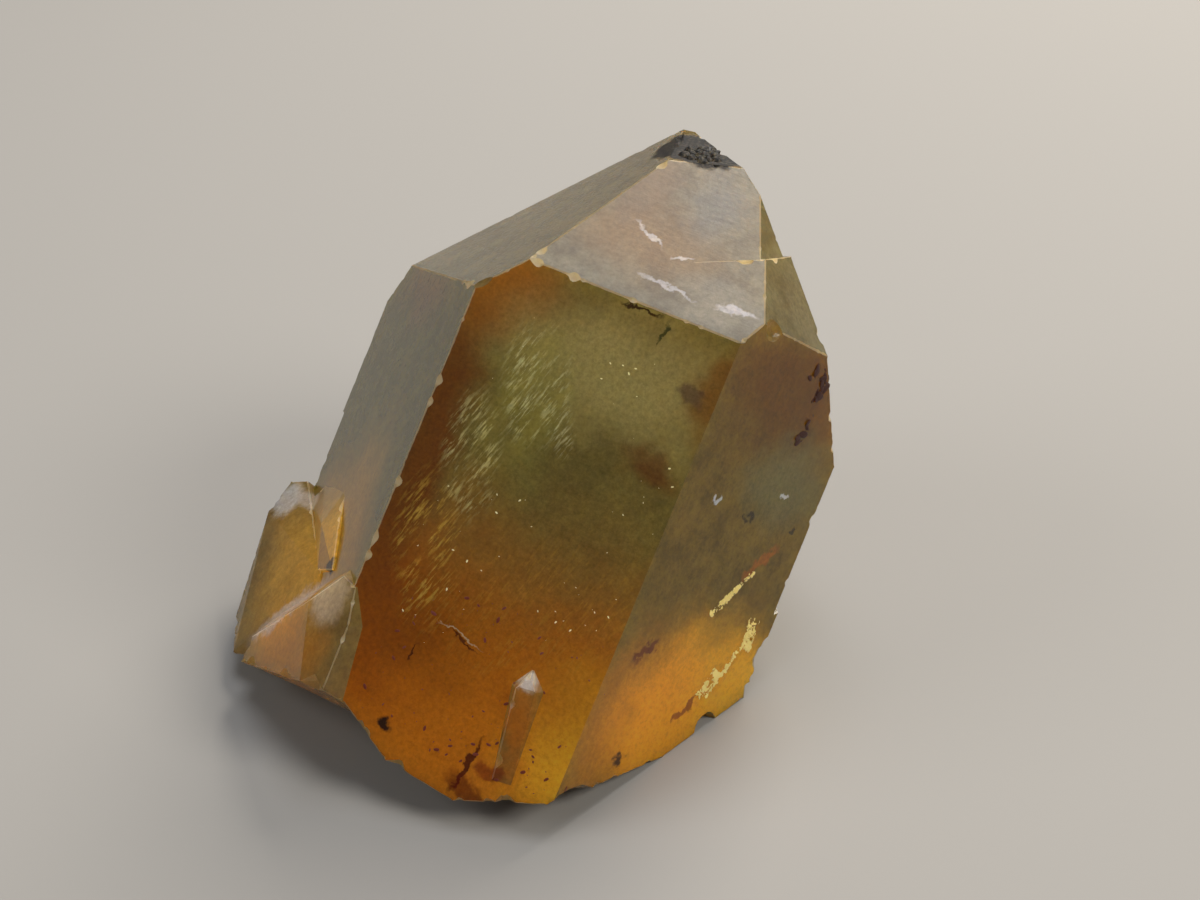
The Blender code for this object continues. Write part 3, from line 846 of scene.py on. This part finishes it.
def strewn(piece, **values):
    """Runs the tree on a sheet with these inputs, and keeps the grains as a plain mesh."""
    step = piece.modifiers.new(STREWING.name, "NODES")
    step.node_group = STREWING
    for item in STREWING.interface.items_tree:
        if item.in_out == "INPUT" and item.name in values:
            step[item.identifier] = values[item.name]
    bpy.context.view_layer.update()
    mesh = bpy.data.meshes.new_from_object(piece.evaluated_get(bpy.context.evaluated_depsgraph_get()))
    piece.modifiers.remove(step)
    piece.data = mesh
    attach(piece, "root")
    print(piece.name, len(mesh.polygons), "faces")


# %% [markdown]
# Grains need something to lie on. One kind of sheet hangs between four corners in the stone and
# waves a little, as a healed crack does. The other is laid on the crystal's skin round a place.

# %% Sheets to strew on
LAID_STEPS = 8
WAVES_PER_MM = 0.35


def grid(name, steps, spot, corners):
    """A grid of faces, its points where spot(u, v) says for u and v from 0 to 1."""
    bm = bmesh.new()
    rows = [[bm.verts.new(spot(i / steps, j / steps)) for j in range(steps + 1)] for i in range(steps + 1)]
    for i in range(steps):
        for j in range(steps):
            bm.faces.new([rows[i + a][j + b] for a, b in corners])
    return object_of(name, bm)


def hung_sheet(name, corners, steps, bulge=0.0, seed=0, on_skin=False):
    """A wavy sheet between four corners given in crystal mm, or one pressed on the crystal's skin."""
    a, b, c, d = (Vector(each) for each in corners)
    out = (b - a).cross(d - a).normalized()

    def spot(u, v):
        inside = a.lerp(b, u).lerp(d.lerp(c, u), v)
        wave = noise.noise(inside * WAVES_PER_MM + Vector((seed, 0, 0))) * bulge
        place = at(*(inside + out * wave))
        return skin.find_nearest(place)[0] if on_skin else place

    return grid(name, steps, spot, ((0, 0), (1, 0), (1, 1), (0, 1)))


def laid_sheet(name, centre, across, up, sink=0.0):
    """A sheet on the crystal's skin round a place, so many mm wide and high, or sunk under it."""
    middle, normal = skin.find_nearest(at(*centre))[:2]
    rise = STAND.to_3x3() @ Vector((0, 0, 1))
    rise = (rise - normal * rise.dot(normal)).normalized()
    side = rise.cross(normal)

    def spot(u, v):
        flat = middle + side * across * (u - 0.5) * MM + rise * up * (v - 0.5) * MM
        place, out = skin.find_nearest(flat)[:2]
        return place - out * sink * MM

    return grid(name, LAID_STEPS, spot, ((0, 0), (0, 1), (1, 1), (1, 0)))


# %% [markdown]
# A grain is too small to show more than one colour and how dull it is, so the materials of grains
# are plain.

# %% A plain material


def plain(name, code, rough):
    """A material of one colour and one roughness."""
    made, tree = material(name)
    shader = add(tree, "ShaderNodeBsdfPrincipled", {"Base Color": linear(code), "Roughness": rough})
    add(tree, "ShaderNodeOutputMaterial", {"Surface": shader})
    return made


# %% [markdown]
# A crack that healed while the crystal grew leaves a sheet of tiny flakes and bubbles, which catch
# the light. They could be painted on the face, but then they'd slide as flat as a sticker when the
# stone is turned. So three sheets start just under the front face and slant inwards. Painted glints
# lie on the right face, over the golden foot: pale gold flakes whose bright colour stands in for the
# light that comes out of the stone there.

# %% Healed cracks and painted glints
painted_glint = plain("painted_glint", "#FFE88C", 0.3)    # pale gold flakes, a painted highlight for the light that comes out of the stone
pale_veil = plain("pale_healed_crack", "#F4EAA8", 0.35)    # flakes and bubbles seen through pale stone
gold_veil = plain("golden_healed_crack", "#F0B838", 0.35)    # the same through amber
PAINTED_GLINTS = {
    # painted glints on the right face, where the light comes out: a streak and the glitter over the golden
    # foot
    "streak_painted_glints": ((11.9, -7.7, 10.6), (13.5, -5.0, 14.4), (13.7, -4.6, 14.4), (12.2, -7.2, 10.2)),
    "upper_painted_glints": ((14.6, -3.1, 11.0), (15.4, -1.8, 10.9), (15.5, -1.5, 8.4), (14.8, -2.8, 8.6)),
    "middle_painted_glints": ((14.7, -2.9, 8.8), (14.9, -2.5, 8.8), (14.3, -3.6, 5.8), (14.0, -4.1, 5.9)),
    "lower_painted_glints": ((13.6, -4.9, 6.4), (14.3, -3.6, 6.2), (13.8, -4.5, 4.0), (13.1, -5.7, 4.2)),
}
for seed, (name, corners) in enumerate(PAINTED_GLINTS.items()):
    strewn(hung_sheet(name, corners, steps=6, on_skin=True), Density=200e6, Clump=2400.0, Cover=0.5,
           Smallest=0.02 * MM, Largest=0.2 * MM, Length=1.6, Flat=0.2, Tumble=0.4, Corners=1, Seed=seed,
           Material=painted_glint)
VEILS = {
    # the first two corners lie just under the front face, the others deeper in the stone
    "veil_upper": ((-4.6, -15.4, 25.5), (-7.0, -15.4, 15.0), (-8.6, -13.8, 15.0), (-6.2, -13.8, 25.0)),
    "veil_inner": ((-2.4, -15.3, 22.0), (-5.6, -15.3, 12.0), (-7.2, -13.7, 12.0), (-4.2, -13.7, 21.5)),
    "veil_lower": ((-6.2, -15.4, 15.0), (-8.8, -15.4, 3.0), (-10.4, -13.8, 3.5), (-7.8, -13.8, 15.0)),
}
for seed, (name, corners) in enumerate(VEILS.items()):
    strewn(hung_sheet(name, corners, steps=12, bulge=0.3, seed=seed), Density=150e6, Clump=700.0,
           Cover=0.48, Smallest=0.03 * MM, Largest=0.22 * MM, Length=2.4, Flat=0.12, Tumble=0.6,
           Corners=1, Seed=seed, Material=gold_veil if name == "veil_lower" else pale_veil)

# %% [markdown]
# Iron stains the stone: dark specks near the right shoulder, rust-coloured flecks low on the front
# face, and a few pale flecks of dust all over it. The crumbs of the crust sit in the pit at the tip,
# sunk by a fifth of a millimetre so that they look grown on.

# %% Specks, flecks and crust
iron = plain("iron_oxide", "#3A1408", 0.6)             # hematite: near black, hardly any shine
rust = plain("rusty_fleck", "#6A2408", 0.5)           # the same, hydrated and redder
soot = plain("dark_crust", "#1A1715", 0.55)           # manganese oxide: black with a dull shine
DARK_SPECKS = {
    # place in crystal mm: width and height of the patch
    (13.2, -5.6, 27.6): (1.2, 6.0),
    (12.4, -7.2, 30.4): (0.7, 1.8),
}
for seed, (centre, size) in enumerate(DARK_SPECKS.items()):
    strewn(laid_sheet(f"dark_specks_{seed}", centre, *size), Density=16e6, Clump=900.0, Cover=0.46,
           Smallest=0.07 * MM, Largest=0.36 * MM, Length=1.7, Flat=0.3, Tumble=0.3, Corners=2, Seed=seed,
           Material=iron)
strewn(laid_sheet("iron_flecks", (0, -15.8, 0), across=18, up=12), Density=2.2e6, Clump=420.0, Cover=0.5,
       Smallest=0.03 * MM, Largest=0.16 * MM, Length=2.0, Flat=0.25, Tumble=0.2, Corners=1, Seed=11,
       Material=rust)
strewn(laid_sheet("bright_flecks", (-1, -15.8, 14), across=16, up=26), Density=1.2e6, Clump=220.0, Cover=0.54,
       Smallest=0.015 * MM, Largest=0.08 * MM, Length=2.2, Flat=0.25, Tumble=0.2, Corners=1, Seed=12,
       Material=pale_veil)
strewn(laid_sheet("tip_crust", (-2.2, -4.6, 42.4), across=3.2, up=2.6, sink=0.22), Density=9e6,
       Clump=500.0, Cover=0.36, Smallest=0.08 * MM, Largest=0.4 * MM, Length=1.3, Flat=0.8, Tumble=1.0,
       Corners=2, Seed=2, Material=soot)

# %% [markdown]
# Light has to cross the stone and come out again, so it may bounce more often than usual. Very
# bright stray paths are clamped, because they'd show as white dots. The view transform is Standard,
# so that the hex colours above come out as they are written.

# %% Light settings
scene = bpy.context.scene
scene.view_settings.view_transform = "Standard"
scene.cycles.max_bounces = 7
scene.cycles.transmission_bounces = 7
scene.cycles.glossy_bounces = 3
scene.cycles.diffuse_bounces = 2
scene.cycles.sample_clamp_indirect = 8.0
scene.cycles.use_light_tree = False
